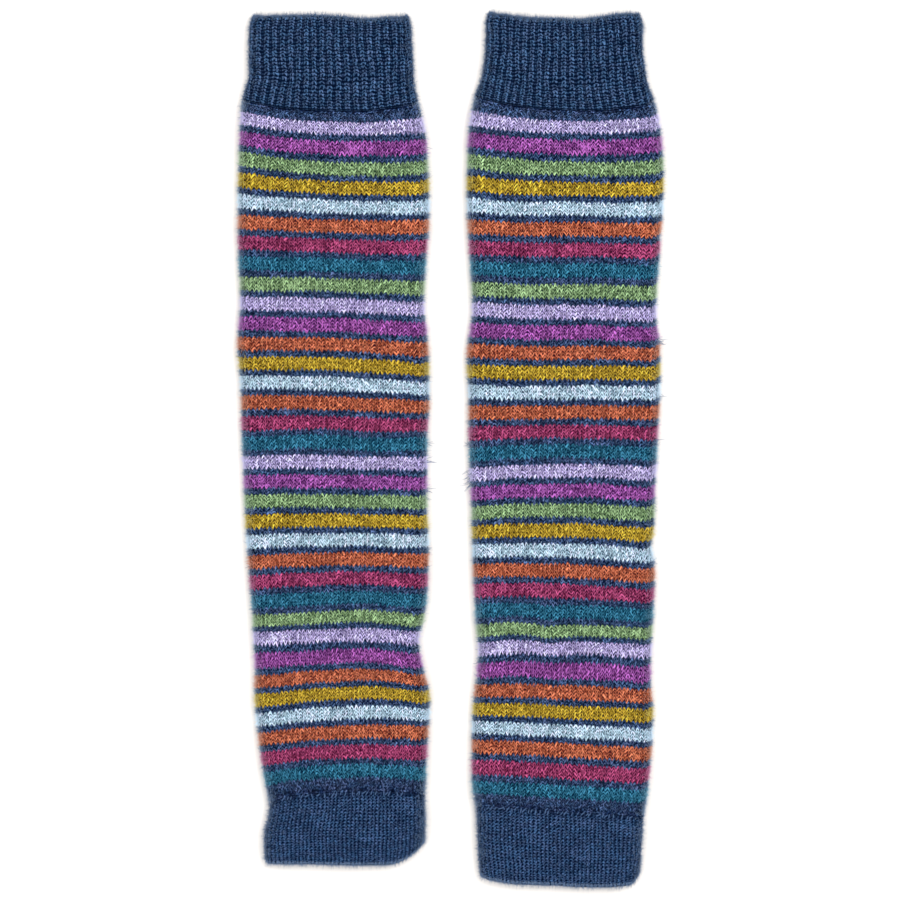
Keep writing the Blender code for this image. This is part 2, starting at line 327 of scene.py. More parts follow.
def rowPlan(stretch, rows):
    # row coordinate, course, drop below the cloth's face in walls, and how much relief, for each ring
    start, end = stretch["courses"]
    pitch, gap = knitting["coursePitch"], knitting["rimGap"]
    runs = [None if rim is None else rim / pitch for rim in stretch["rims"]]
    courses = np.array(rows, float)
    for run, away, way in ((runs[0], rows - start, 1), (runs[1], end - rows, -1)):
        if run is not None:
            courses = courses + way * (run + gap) * np.clip(1 - away / knitting["rimReach"], 0, 1)
    plan = [(row, course, 0.0, 1.0) for row, course in zip(rows, courses)]
    arc = stretch["wall"] / 2 / pitch
    for run, edge, way in ((runs[0], start, -1), (runs[1], end, 1)):
        if run is None:
            continue
        rolled = []
        for degrees in knitting["rollSteps"]:
            angle = math.radians(degrees)
            relief = max(knitting["reliefOverRim"] * math.sin(angle), math.cos(angle))
            course = edge - way * (run + gap) + way * run * math.sin(angle)
            rolled.append((edge + way * arc * angle, course, (1 - math.cos(angle)) / 2, relief))
        plan = rolled[::-1] + plan if way < 0 else plan + rolled
    return np.array(plan)


def calmAtRims(stretch, row, over):
    # 0 at a rim, and 1 from so many rows away
    calm = np.ones_like(row)
    for rim, away in zip(stretch["rims"], (row - stretch["courses"][0], stretch["courses"][1] - row)):
        if rim is not None:
            calm = calm * np.clip(away / over, 0, 1)
    return calm


def knitShift(stretch, leg, wale, row):
    # how far the knitting sways: wales sideways, rows along
    seed = leg["seed"]
    sway, swayLength, jitter = knitting["waleSway"]
    waleShift = sway * softNoise(wale / 2, row / swayLength, seed + 1)
    waleShift = waleShift + jitter * softNoise(2 * wale, row, seed + 2)
    slow, single = knitting["rowSway"]
    rowShift = slow * softNoise(wale / 3, row / 2, seed + 3) + single * softNoise(2 * wale, row, seed + 4)
    return waleShift, rowShift * calmAtRims(stretch, row, knitting["calmRows"])


def slantAt(stretch, p, row):
    arch = stretch["stitch"]["arch"]
    calm = calmAtRims(stretch, row, knitting["slantFade"])
    return stretch["slant"] * calm * (p**arch - 1 / (arch + 1))


def fromEdge(wale):
    # 0 at the edge of a column of stitches, 1 in its middle
    return 1 - np.abs(2 * (wale % 1.0) - 1)


def halfOffset(stretch):
    return 0.5 * (stretch["shownWales"] % 2)


def shownGrid(stretch, leg, plan):
    # the relief of the stitches, over the top layer and round both folds
    stitch, half, offset = stretch["stitch"], stretch["shownWales"] / 2, halfOffset(stretch)
    steps = np.array(stitch["columns"]) / 2
    oneWale = np.concatenate([steps, 1 - steps[1:-1][::-1]])
    wales = np.sort(np.concatenate([k + oneWale for k in np.arange(-half, half)] + [[half]]))
    wale, row = np.meshgrid(wales, plan[:, 0])
    course, drop, relief = (np.repeat(plan[:, [k]], len(wales), axis=1) for k in (1, 2, 3))
    p, q = fromEdge(wale + offset), row % 1.0
    q = np.where(np.isclose(q, 1.0, atol=1e-6), 0.0, q)
    height = chartAt(stitch, p, q)
    height = height * (1 - knitting["loose"] * (0.5 + 0.5 * softNoise(2 * wale, row, leg["seed"] + 5)))
    height = height * np.where((wale + offset) % 1.0 > 0.5, knitting["rightArm"], 1.0)
    waleShift, rowShift = knitShift(stretch, leg, wale, row)
    edge = np.clip((half - np.abs(wale)) / knitting["edgeFade"], 0, 1)
    course = course + slantAt(stretch, p, row) + rowShift
    bump = 0.5 - 0.5 * np.cos(math.pi * p)
    start, end = stretch["courses"]
    fromEnd, outward = (row - start, -1) if start < 0 else (end - row, 1)
    atEnd = np.clip(1 - fromEnd / knitting["scallopRows"], 0, 1)
    course = course + outward * stretch["scallop"] / knitting["coursePitch"] * (bump - 0.5) * atEnd
    lift = (knitting["proud"] - stretch["depth"] * (1 - height)) * relief * edge - drop * stretch["wall"]
    lift = lift + stretch["rib"] * bump * relief * edge
    points = clothPoints(leg, (wale + waleShift * edge) / stretch["wales"], course, lift, stretch["rib"])
    return wale + offset, row, points


def underGrid(stretch, leg, plan):
    # the layer that lies on the surface, flat, with its stitches in the finish alone
    half, offset = stretch["shownWales"] / 2, halfOffset(stretch)
    step = knitting["underStep"]
    wales = np.arange(half + step, stretch["wales"] - half - step / 2, step)
    wale, row = np.meshgrid(wales, plan[:, 0])
    course, drop = (np.repeat(plan[:, [k]], len(wales), axis=1) for k in (1, 2))
    course = course + slantAt(stretch, fromEdge(wale + offset), row)
    points = clothPoints(leg, wale / stretch["wales"], course, -drop * stretch["wall"], stretch["rib"])
    return wale + offset, row, points


def insideGrid(stretch, leg, rows):
    # the plain inner face of the wall, from the top's left edge all round
    above, below = (0.0 if rim is None else rim / knitting["coursePitch"] + knitting["rimGap"]
                    for rim in stretch["rims"])
    course = np.clip(rows, stretch["courses"][0] + above, stretch["courses"][1] - below)
    radius, flat, girth = tubeForm(leg, course, stretch["rib"])
    bend = math.pi * radius
    ends = (-flat, flat, flat + bend, 3 * flat + bend, 3 * flat + 2 * bend)
    places = [low + (high - low) * k / count
              for low, high, count in zip(ends, ends[1:], knitting["insideSteps"]) for k in range(count)]
    share = np.stack(places, axis=1) / girth[:, None]
    courses = np.repeat(course[:, None], share.shape[1], axis=1)
    points = clothPoints(leg, share, courses, np.full(share.shape, -stretch["wall"]), stretch["rib"])
    return share * stretch["wales"], np.repeat(rows[:, None], share.shape[1], axis=1), points


def gridFaces(ids, flip=False):
    faces = np.stack([ids[:-1, :-1], ids[1:, :-1], ids[1:, 1:], ids[:-1, 1:]], axis=-1).reshape(-1, 4)
    return (faces[:, ::-1] if flip else faces).tolist()


def zipFaces(first, second, firstAt, secondAt, flip):
    # triangles between two lines of points, each with its places along
    faces, i, j = [], 0, 0
    while i < len(first) - 1 or j < len(second) - 1:
        nextFirst = firstAt[i + 1] if i < len(first) - 1 else np.inf
        nextSecond = secondAt[j + 1] if j < len(second) - 1 else np.inf
        if nextFirst <= nextSecond:
            faces.append((first[i], second[j], first[i + 1]))
            i += 1
        else:
            faces.append((first[i], second[j], second[j + 1]))
            j += 1
    return [face[::-1] for face in faces] if flip else faces


def begunAt(places, first, girth):
    # the order of a closed line's points when it begins next to another line's first point
    turned = (places[:-1] - first) % girth
    order = np.argsort(turned)
    return np.append(order, order[0]), np.append(first + turned[order], first + turned[order[0]] + girth)


def isUnderRow(row, stretch):
    whole = round(row)
    return abs(row - whole) < 1e-6 and whole % knitting["underEvery"] in stretch["underRows"]


def knitPiece(name, leg, stretch):
    points, knit, bake, faces = [], [], [], []
    start, end = stretch["courses"]
    wales, half, offset = stretch["wales"], stretch["shownWales"] / 2, halfOffset(stretch)
    outerBand, rimBand, innerBand = (0.16, 0.996), (0.145, 0.155), (0.004, 0.135)  # places in the baked map

    def add(wale, row, place, band, rowRange):
        first = sum(len(block) for block in points)
        points.append(place.reshape(-1, 3))
        knit.append(np.stack([wale, row], axis=-1).reshape(-1, 2))
        u = 0.004 + 0.992 * (wale - offset + half) / wales
        v = band[0] + (band[1] - band[0]) * (row - rowRange[0]) / (rowRange[1] - rowRange[0])
        bake.append(np.stack([u, v], axis=-1).reshape(-1, 2))
        return np.arange(first, first + wale.size).reshape(wale.shape)

    each = knitting["rowsEach"]
    plan = rowPlan(stretch, np.arange(start * each, end * each + 1) / each)
    coarse = plan[[drop > 0 or row in (start, end) or isUnderRow(row, stretch) for row, _, drop, _ in plan]]
    rowRange = (plan[0, 0], plan[-1, 0])
    shown, under = shownGrid(stretch, leg, plan), underGrid(stretch, leg, coarse)
    shownIds, underIds = add(*shown, outerBand, rowRange), add(*under, outerBand, rowRange)
    closing = (shown[0][:, :1] + wales, shown[1][:, :1], shown[2][:, :1])
    closingIds = add(*closing, outerBand, rowRange)[:, 0]
    faces += gridFaces(shownIds) + gridFaces(underIds)
    faces += zipFaces(shownIds[:, -1], underIds[:, 0], plan[:, 0], coarse[:, 0], True)
    faces += zipFaces(closingIds, underIds[:, -1], plan[:, 0], coarse[:, 0], False)

    innerRows = np.linspace(start, end, max(6, int((end - start) / knitting["insideRows"])))
    inner = insideGrid(stretch, leg, innerRows)
    inner = [np.concatenate([grid, grid[:, :1]], axis=1) for grid in inner]
    inner[0] = inner[0] + offset
    inner[0][:, -1] += wales
    faces += gridFaces(add(*inner, innerBand, (start, end)), flip=True)

    for at, last in ((0, False), (-1, True)):
        outerWale = np.concatenate([shown[0][at], under[0][at], closing[0][at]])
        outerPoints = np.concatenate([shown[2][at], under[2][at], closing[2][at]])
        order, innerWale = begunAt(inner[0][at], outerWale[0], wales)
        outerIds = add(outerWale, np.full(outerWale.shape, -1.0), outerPoints, rimBand, (-1, 1))
        innerIds = add(innerWale, np.full(innerWale.shape, 1.0), inner[2][at][order], rimBand, (-1, 1))
        knit[-2][:, 1] = knit[-1][:, 1] = plan[at, 0]
        faces += zipFaces(outerIds, innerIds, outerWale, innerWale, not last)
    corners = [index for face in faces for index in face]
    bake, knit = (np.concatenate(blocks)[corners] for blocks in (bake, knit))
    piece = newPiece(name, np.concatenate(points), faces, bake, knit)
    openEdges = weld(piece.data)
    print(f"{name}: {sum(len(face) - 2 for face in faces)} triangles, {openEdges} open edges")
    return piece


def newPiece(name, points, faces, bake, knit):
    # one object, with a map for baking, and one for its finish, where v is the row of stitches
    mesh = bpy.data.meshes.new(name)
    mesh.from_pydata(points.tolist(), [], faces)
    for mapName, values in (("OFBake", bake), ("knit", knit)):
        mesh.uv_layers.new(name=mapName).data.foreach_set("uv", values.astype(np.float32).ravel())
    mesh.shade_smooth()
    piece = bpy.data.objects.new(name, mesh)
    bpy.context.scene.collection.objects.link(piece)
    return piece


def weld(mesh):
    welded = bmesh.new()
    welded.from_mesh(mesh)
    bmesh.ops.remove_doubles(welded, verts=welded.verts, dist=1e-7)
    openEdges = sum(not edge.is_manifold for edge in welded.edges)
    welded.to_mesh(mesh)
    welded.free()
    return openEdges


print("knitting the tubes")
pieces = {}
for sideName, leg in legWarmers.items():
    for stretchName, stretch in stretches.items():
        piece = knitPiece(f"{sideName}_{stretchName}_knit", leg, stretch)
        pieces[sideName, stretchName] = piece
        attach(piece, "root")
        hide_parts(f"{sideName}_{stretch['replaces']}")


# Loose fibres: the fuzz at the folds and open ends, the nap on top, and longer stray ones.
fibres = {
    "fuzzRadius": 0.1,
    "napRadius": 0.075,
    "foldFuzz": {"top_cuff": 1000, "leg": 10400, "bottom_cuff": 850},  # how many, each side
    "endFuzz": {"top_cuff": 2800, "bottom_cuff": 1900},
    "nap": {"top_cuff": 150, "leg": 4200, "bottom_cuff": 150},
    "fuzzLength": (1.45, 0.45, 0.4, 3.5),  # middle in mm, how much it differs, shortest and longest
    "napLength": (1.15, 0.4, 0.5, 2.5),
    "rooted": 0.1,  # how deep in the cloth's face the roots lie, mm
    "lowest": 0.1,  # no fibre comes nearer to the surface, mm
    "napLean": 0.45,  # how far the nap turns from the way of the columns of stitches, radians
    "foldTurn": (1.0, 0.75),  # where round the fold they grow, radians from the top
    "foldReach": (-1.2, 2.5),  # and no further round than this
    "foldWay": (0.8, 0.45, (0.6, 1.0, 0.6)),  # how straight out, how much that differs, for x, y and z
    "endDepth": (1.3, 1.5),  # how far into an open end they grow, in courses, and how deep, mm
    "strays": {  # x and y in mm, way outwards, how many, their spread and length in mm, how much they rise
        "left": ((-11, 3.3, 1, 4, 0.8, 4.5, 0), (-11, -5.5, 1, 6, 3, 4.5, 0), (-11, -20, 1, 4, 1.5, 4.5, 0),
                 (-11, -23.5, 1, 3, 1, 4, -0.3), (-105, 170, -1, 4, 8, 3, 0), (-101, -40, -1, 3, 18, 3, 0),
                 (-99, -70, -1, 3, 6, 3, 0), (-10, 150, 1, 3, 12, 3, 0)),
        "right": ((9, 2.6, -1, 7, 0.8, 4.5, 0), (9, -12.5, -1, 12, 2.5, 4.5, -0.5),
                  (9, -16, -1, 8, 2.5, 4, -0.7), (104, 54, 1, 8, 6, 4, 0.2), (104, 12, 1, 5, 14, 3.5, 0),
                  (102, -30, 1, 4, 10, 3, 0), (12, -110, -1, 4, 16, 3, 0)),
    },
    "snags": {  # yarn ends: x and y in mm, the way they lie in degrees, length in mm
        "left": ((-67.8, 117.3, 40, 4.0), (-53.3, 38.3, 200, 3.0), (-41.3, 37.3, -20, 3.2),
                 (-41.3, -106.8, 265, 3.2), (-24.8, -106.6, 275, 3.2), (-34.8, -155.3, 250, 3.0),
                 (-24.8, -157.8, 300, 2.6)),
        "right": ((36.8, 32.3, 230, 3.2), (97.3, 32.3, 280, 3.4), (42.8, -115.3, 250, 3.0)),
    },
    "snagRadius": 0.2,
    "strayRadius": 0.13,
}


def fibreMesh(name, paths, radii, knitAt, sides):
    # thin tapered tubes along the paths (fibre, point, xyz), each closed at its root and at its tip
    count, length = paths.shape[:2]
    along = np.gradient(paths, axis=1)
    along /= np.linalg.norm(along, axis=-1, keepdims=True) + 1e-12
    first = np.cross(along, np.array([0.31, 0.17, 0.94]))  # a way that no fibre runs exactly
    first /= np.linalg.norm(first, axis=-1, keepdims=True) + 1e-12
    second = np.cross(along, first)
    turns = 2 * math.pi * np.arange(sides) / sides
    ring = (np.cos(turns)[:, None] * first[:, :-1, None] + np.sin(turns)[:, None] * second[:, :-1, None])
    rings = paths[:, :-1, None] + ring * radii[:, :-1, None, None]
    points = np.concatenate([rings.reshape(count, -1, 3), paths[:, -1:]], axis=1)
    perFibre = points.shape[1]
    one = [tuple(reversed(range(sides)))]
    oneUv = [[(k / sides, 0.02 * (k % 2)) for k in reversed(range(sides))]]
    for r in range(length - 1):
        low, high = (0.1 + 0.9 * end / (length - 1) for end in (r, r + 1))
        for k in range(sides):
            a, b = r * sides + k, r * sides + (k + 1) % sides
            base = [(k / sides, low), ((k + 1) / sides, low)]
            if r < length - 2:
                one.append((a, b, b + sides, a + sides))
                oneUv.append(base + [((k + 1) / sides, high), (k / sides, high)])
            else:
                one.append((a, b, perFibre - 1))
                oneUv.append(base + [((k + 0.5) / sides, 1.0)])
    faces = [tuple(index + f * perFibre for index in face) for f in range(count) for face in one]
    cells = math.ceil(math.sqrt(count))
    local = np.array([corner for face in oneUv for corner in face]) * 0.9 + 0.05
    corners = np.stack([np.arange(count) % cells, np.arange(count) // cells], axis=-1)
    bake = (corners[:, None] + local) / cells
    knit = np.repeat(knitAt[:, None], len(local), axis=1)
    print(f"{name}: {count} fibres, {sum(len(face) - 2 for face in one) * count} triangles")
    return newPiece(name, points.reshape(-1, 3), faces, bake, knit)


def unit(vectors):
    return vectors / np.linalg.norm(vectors, axis=-1, keepdims=True)


def ribLift(share, ribs):
    # how far the ribs of the cuff stand out here
    return ribs * (0.5 - 0.5 * np.cos(math.pi * fromEdge(share * stretches["top_cuff"]["wales"] + 0.5)))


def rootsOnCloth(leg, share, course, ribs):
    # points just within the cloth's face, and the way out of it
    face = ribLift(share, ribs)
    root = clothPoints(leg, share, course, face - fibres["rooted"], ribs)
    out = clothPoints(leg, share, course, face + (1 - fibres["rooted"]), ribs) - root
    out[:, 1] = 0
    return root, unit(out)


def bentPaths(root, way, curl, length, points):
    # paths that leave their roots one way and bend as they go
    t = np.linspace(0, 1, points)[None, :, None]
    reach = (length * mm)[:, None, None]
    return root[:, None] + way[:, None] * reach * t + curl[:, None] * reach * t**2


def aboveSurface(paths):
    paths[..., 2] = np.maximum(paths[..., 2], fibres["lowest"] * mm)


def foldFuzz(leg, name, courses, ribs, rng):
    # fibres round both folds
    count = 2 * fibres["foldFuzz"][name]
    course = rng.uniform(courses[0] + 0.1, courses[1] - 0.1, count)
    radius, flat, girth = tubeForm(leg, course, ribs)
    turn = np.clip(rng.normal(*fibres["foldTurn"], count), *fibres["foldReach"])
    share = np.where(np.arange(count) % 2, 1, -1) * (flat + radius * turn) / girth
    root, out = rootsOnCloth(leg, share, course, ribs)
    straight, differs, axes = fibres["foldWay"]
    way = unit(out * straight + rng.normal(0, differs, (count, 3)) * axes)
    return root, way, course, share


def endFuzz(leg, name, courses, wales, ribs, rng):
    # fibres in the open end: even along the rib, and in a tuft at each column of the hem
    count, (furthest, deepest) = fibres["endFuzz"][name], fibres["endDepth"]
    if courses[0] < 0:
        inside = np.abs(rng.normal(0, 0.5, count)) + 0.05
        course, aside, outward = courses[0] + inside, rng.uniform(-0.5, 0.5, count), 1.0
    else:
        inside = rng.uniform(0.1, furthest, count)
        course, aside, outward = courses[1] - inside, rng.normal(0, 0.3, count), -1.0
    share = (rng.integers(-wales // 4, wales // 4 + 1, count) + aside) / wales
    sunk = deepest * np.clip(1 - inside / furthest, 0, 1) * rng.uniform(0, 1, count) + fibres["rooted"]
    root = clothPoints(leg, share, course, ribLift(share, ribs) - sunk, ribs)
    way = unit(rng.normal(0, 0.4, (count, 3)) + (0, outward, 0.15))
    return root, way, course, share


def topNap(leg, name, courses, ribs, rng):
    # short fibres all over the top layer, leaning one way or the other along the columns
    count = fibres["nap"][name]
    course = rng.uniform(courses[0] + 1, courses[1] - 1, count)
    flat, girth = tubeForm(leg, course, ribs)[1:]
    share = rng.uniform(-1, 1, count) * flat / girth
    root = rootsOnCloth(leg, share, course, ribs)[0]
    angle = rng.normal(0, fibres["napLean"], count) + math.pi * (rng.integers(0, 2, count) + 0.5)
    way = np.stack([np.cos(angle), np.sin(angle), np.full(count, 0.3)], axis=-1)
    return root, way, course, share


def fuzzFor(leg, name, courses, wales, ribs, seed):
    rng = np.random.default_rng(seed)

    def drawLengths(kind, strands):
        middle, spread, shortest, longest = fibres[kind]
        return np.clip(rng.lognormal(math.log(middle), spread, len(strands[0])), shortest, longest)

    sets = [foldFuzz(leg, name, courses, ribs, rng)]
    if name in fibres["endFuzz"]:
        sets.append(endFuzz(leg, name, courses, wales, ribs, rng))
    lengths = [drawLengths("fuzzLength", strands) for strands in sets]
    sets.append(topNap(leg, name, courses, ribs, rng))
    lengths.append(drawLengths("napLength", sets[-1]))
    root, way, course, share = (np.concatenate(blocks) for blocks in zip(*sets))
    thickness = np.where(np.arange(len(root)) >= len(root) - fibres["nap"][name],
                         fibres["napRadius"], fibres["fuzzRadius"])
    order = np.argsort(course)  # neighbours in the baked map are neighbours on the cloth
    root, way, course, share, thickness = (block[order] for block in (root, way, course, share, thickness))
    paths = bentPaths(root, way, way * 0, np.concatenate(lengths)[order], 2)
    aboveSurface(paths)
    radii = thickness[:, None] * mm * np.array([[1.0, 0.0]])
    return paths, radii, np.stack([share * wales, course], axis=-1)


def placeOnCloth(leg, x, y):
    # the share and course of a point given in mm, on the top layer
    courses = np.linspace(-26, 235, 2611)  # every tenth of a course from one end to the other
    section, left, right = foldsAt(leg, courses)
    rows = rowLine(leg, section, left, right, courses, np.full(courses.shape, float(x)))
    k = int(np.argmin(np.abs(rows - y)))
    return (x - (left[k] + right[k]) / 2) / tubeForm(leg, courses, 0.0)[2][k], courses[k]


def strayFibres(sideName, leg):
    # long fine fibres that stand out from the folds in loose tufts
    rng = np.random.default_rng(leg["seed"] + 70)
    tufts = []
    for x, y, side, count, spread, length, rise in fibres["strays"][sideName]:
        course = placeOnCloth(leg, x, y)[1] + rng.normal(0, spread / 2.2 / knitting["coursePitch"], count)
        radius, flat, girth = tubeForm(leg, course, 0.0)
        share = side * (flat + radius * rng.uniform(0.9, 1.9, count)) / girth
        root, out = rootsOnCloth(leg, share, course, 0.0)
        way = out * 0.9 + rng.normal(0, 0.25, (count, 3)) + (0, rise, 0)
        tufts.append((root, way, length * rng.uniform(0.5, 1.2, count),
                      np.stack([share * legWales, course], axis=-1)))
    root, way, length, knitAt = (np.concatenate(blocks) for blocks in zip(*tufts))
    curl = rng.normal(0, 0.3, root.shape) * (1, 1, 0.3)
    t = np.linspace(0, 1, 7)
    paths = bentPaths(root, way, curl, length, len(t))
    wiggle = np.sin(t[None] * rng.uniform(4, 9, (len(root), 1)) + rng.uniform(0, 6, (len(root), 1)))
    paths[..., 1] += wiggle * t * 0.2 * mm
    aboveSurface(paths)
    radii = np.repeat((1 - 0.6 * t)[None] * fibres["strayRadius"] * mm, len(root), axis=0)
    return fibreMesh(f"{sideName}_stray_fibres", paths, radii, knitAt, 3)


def snaggedEnds(sideName, leg):
    # short ends of yarn that were pulled out of the knitting
    rng = np.random.default_rng(leg["seed"] + 80)
    paths, knitAt = [], []
    t = np.linspace(0, 1, 9)
    for x, y, degrees, length in fibres["snags"][sideName]:
        share, course = placeOnCloth(leg, x, y)
        root = clothPoints(leg, np.array([share]), np.array([course]), np.array([-0.2]))[0]
        angle = math.radians(degrees) + np.cumsum(rng.normal(0, 0.28, len(t)))
        step = length / (len(t) - 1) * mm
        path = root + np.stack([np.cumsum(np.cos(angle)) * step, np.cumsum(np.sin(angle)) * step,
                                (0.15 + 0.75 * np.sin(math.pi * t**0.8)) * mm], axis=-1)
        paths.append(path)
        knitAt.append((share * legWales, math.floor(course) + 0.6))
    radii = np.repeat(((1 - 0.45 * t) * fibres["snagRadius"] * mm)[None], len(paths), axis=0)
    return fibreMesh(f"{sideName}_snagged_ends", np.array(paths), radii, np.array(knitAt), 6)


# Where the hem is linked to the leg: one slanted loop of yarn over the groove for each stitch.
linking = {
    "course": 211,
    "reach": (0.5, 1.0),  # rows that a loop runs above and below the seam
    "shown": 19,  # wales each side of the middle
    "radius": 0.26,
    "lean": (0.5, 0.5),  # in wales, and how much it differs
    "sunk": 0.75,  # how deep the ends of a loop lie, mm
    "bow": 0.05,  # how far the loop stands out at its middle, mm
    "missing": 0.2,
}


def linkingLoops(sideName, leg):
    rng = np.random.default_rng(leg["seed"] + 90)
    seam, (above, below) = linking["course"], linking["reach"]
    wale = np.arange(-linking["shown"], linking["shown"])
    wale = wale[rng.uniform(size=len(wale)) > linking["missing"]]
    each = (len(wale), 1)
    t = np.linspace(0, 1, 7)[None]
    lean = (linking["lean"][0] + rng.normal(0, linking["lean"][1], each)) * (1 - 2 * t) * 0.5
    top = above * rng.uniform(0.4, 1.3, each)
    bottom = below * rng.uniform(0.4, 1.3, each)
    course = seam - top + (top + bottom) * t
    bow = linking["bow"] * rng.uniform(0.5, 1.3, each)
    lift = -linking["sunk"] + (linking["sunk"] + bow) * np.sin(math.pi * t) ** 0.7
    share = (wale[:, None] + 0.3 + lean + rng.normal(0, 0.2, each)) / legWales
    paths = clothPoints(leg, share, course, lift)
    radii = linking["radius"] * mm * (0.75 + 0.25 * np.sin(math.pi * t)) * rng.uniform(0.8, 1.1, each)
    knitAt = np.stack([wale + 0.3, np.full(len(wale), seam + 3.55)], axis=-1)
    return fibreMesh(f"{sideName}_hem_linking", paths, radii, knitAt, 6)


print("raising the fuzz")
fuzzSpans = {  # the first and last stretch that one piece of fuzz covers
    "top_cuff": ("top_cuff", "top_cuff"),
    "leg": ("leg_upper", "leg_lower"),
    "bottom_cuff": ("bottom_cuff", "bottom_cuff"),
}
loosePieces = []  # with the finish of each


def addLoose(piece, finish):
    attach(piece, "root")
    loosePieces.append((piece, finish))


for sideName, leg in legWarmers.items():
    for k, (name, (first, last)) in enumerate(fuzzSpans.items()):
        stretch = stretches[first]
        courses = (stretch["courses"][0], stretches[last]["courses"][1])
        strands = fuzzFor(leg, name, courses, stretch["wales"], stretch["rib"], leg["seed"] + 60 + k)
        addLoose(fibreMesh(f"{sideName}_{name}_fuzz", *strands, 3), stretch["slot"])
    addLoose(strayFibres(sideName, leg), "strays")
    addLoose(snaggedEnds(sideName, leg), "ends")
for sideName, leg in legWarmers.items():
    addLoose(linkingLoops(sideName, leg), "loops")


def seen(red, green, blue):
    # a colour as it is seen, from 0 to 255, as the share of light that it gives back
    shares = [c / 255 for c in (red, green, blue)]
    return [((c + 0.055) / 1.055) ** 2.4 if c > 0.04 else c / 12.92 for c in shares] + [1.0]


yarns = {
    "navy": seen(70, 91, 130),
    "lilac": seen(205, 194, 243),
    "purple": seen(170, 98, 179),
    "green": seen(155, 186, 139),
    "mustard": seen(202, 174, 60),
    "ice": seen(207, 236, 255),
    "orange": seen(205, 120, 87),
    "raspberry": seen(176, 78, 124),
    "teal": seen(58, 126, 157),
    "rib navy": seen(68, 95, 132),
    "hem navy": seen(61, 87, 126),
}
stripes = {
    "above": 2.0,  # rows to add so that a stripe starts at each whole step
    "every": 6.0,  # rows from stripe to stripe
    "rows": 4.0,  # rows in a stripe
    "repeats": 2,
    "order": ("lilac", "purple", "green", "mustard", "ice", "orange", "raspberry", "teal", "green",
              "lilac", "purple", "orange", "mustard", "ice", "orange", "raspberry", "teal"),
}
# Marks in a stitch that set where its painted shade lies are ovals: middle and reach from the stitch's edge
# to its middle, middle and reach down its row, how far out the mark is full, how far out it ends, and its
# strength.
gaps = {
    "plainLine": (0.36, 0.05, 0.68),  # starts and is full so near a row's edge, and its strength
    "plainHoles": ((0.0, 0.55, 0.0, 0.5, 0.35, 1.08, 1.0), (1.0, 0.5, 0.0, 0.45, 0.35, 1.08, 1.0)),
    "ribStrand": (0.58, 0.31, 0.42, 0.54, 0.2, 1.05, 1.0),
    "ribBridge": (1.0, 0.5, 0.2, 0.26, 0.3, 1.1, 0.6),
    "ribFurrow": (0.0, 0.4, 0.5, 0.4, 0.2, 1.1, 0.44),
    "ribDepth": 0.83,
    "hemSlant": 1.2,
    "hemHole": (1.0, 0.86, 0.55, 0.41, 0.85, 1.15, 1.0),
    "hemEdge": (0.0, 0.5, 0.3, 0.45, 0.2, 1.0, 0.5),
}
shading = {  # noises give scale and detail, and most of them where they start and where they are full
    "wander": (1.9, 1.0),  # of the lines of stitches
    # patches of the painted shade beside the seams
    "seamPatches": (0.45, 2.0, 0.3, 0.6),
    "armPatches": (0.23, 1.0, 0.35, 0.62),  # where the left arms are darker
    "heather": (260.0, 3.0),
    "speckle": (900.0, 2.0, 0.36, 0.64),
    "tint": (330.0, 1.0, 0.4, 0.6),
    "tints": ((0.91, 1.01, 1.02), (1.11, 0.985, 0.985)),
    "fibres": (4.0, 8.0),  # for each wale and for each row
    "twist": (5.0, 2.0, 6.283, 0.3),  # strands across a stitch and down it, one's turn, its height
    # each mask, how light the yarn is where it is 0, and how much lighter where it is 1
    "light": (("Each", 0.44, 0.98), ("Fibre", 0.45, 1.1), ("Heather", 0.8, 0.4), ("Left", 1.0, -0.4)),
    "palest": (0.73, 0.76, 0.93),  # no crest is lighter
    # painted shade in the gaps: the yarn's colour darkened by a power, for a gap's sides and its bottom
    "paintedShadeGamma": 1.8,
    "paintedSideShade": (0.6, 0.6, 0.56, 1.0),
    "deepest": ((0.04, 0.045, 0.06, 1.0), (0.0004, 0.0025, 0.010, 1.0)),  # painted shade at a gap's bottom: share kept, and added
    "sides": (0.0, 0.7),  # how deep in a gap the painted shade of its sides starts and is full
    "bottom": (0.36, 0.93),  # and the same for the painted shade of its bottom
    "bump": (0.5, 0.00015),  # strength and distance
    # the fuzz painted paler than its yarn, partly painted light
    "alike": 0.6,  # the more, the less one fibre's paleness differs from the next's
    "paleGamma": 0.42,
    "pale": (0.9, 0.94, 1.0, 1.0),
    "paintedFoldHighlight": (17.5, 20.0, 0.12),  # painted highlight near the folds: wales from the middle, and how pale the fuzz is within them
}


def put(tree, socket, value):
    if isinstance(value, bpy.types.NodeSocket):
        tree.links.new(value, socket)
    else:
        socket.default_value = value


def addNode(tree, kind, inputs=None, **settings):
    made = tree.nodes.new(kind)
    for key, value in settings.items():
        setattr(made, key, value)
    for key, value in (inputs or {}).items():
        put(tree, made.inputs[key], value)
    return made


def mathNode(tree, operation, *values):
    return addNode(tree, "ShaderNodeMath", dict(enumerate(values)), operation=operation).outputs[0]


def plus(tree, first, second):
    return mathNode(tree, "ADD", first, second)


def minus(tree, first, second):
    return mathNode(tree, "SUBTRACT", first, second)


def times(tree, first, second):
    return mathNode(tree, "MULTIPLY", first, second)


def highest(tree, first, *others):
    for other in others:
        first = mathNode(tree, "MAXIMUM", first, other)
    return first


def mixNode(tree, mode, factor, first, second):
    # sockets 6 and 7, and 2 of those put out, are the ones for colours
    return addNode(tree, "ShaderNodeMix", {0: factor, 6: first, 7: second}, data_type="RGBA",
                   blend_type=mode).outputs[2]


def stepNode(tree, value, low, high):
    return addNode(tree, "ShaderNodeMapRange", {"Value": value, "From Min": low, "From Max": high},
                   interpolation_type="SMOOTHSTEP").outputs["Result"]


def noiseNode(tree, vector, scale, detail, dimensions="3D", output="Fac"):
    return addNode(tree, "ShaderNodeTexNoise", {"Vector": vector, "Scale": scale, "Detail": detail},
                   noise_dimensions=dimensions).outputs[output]


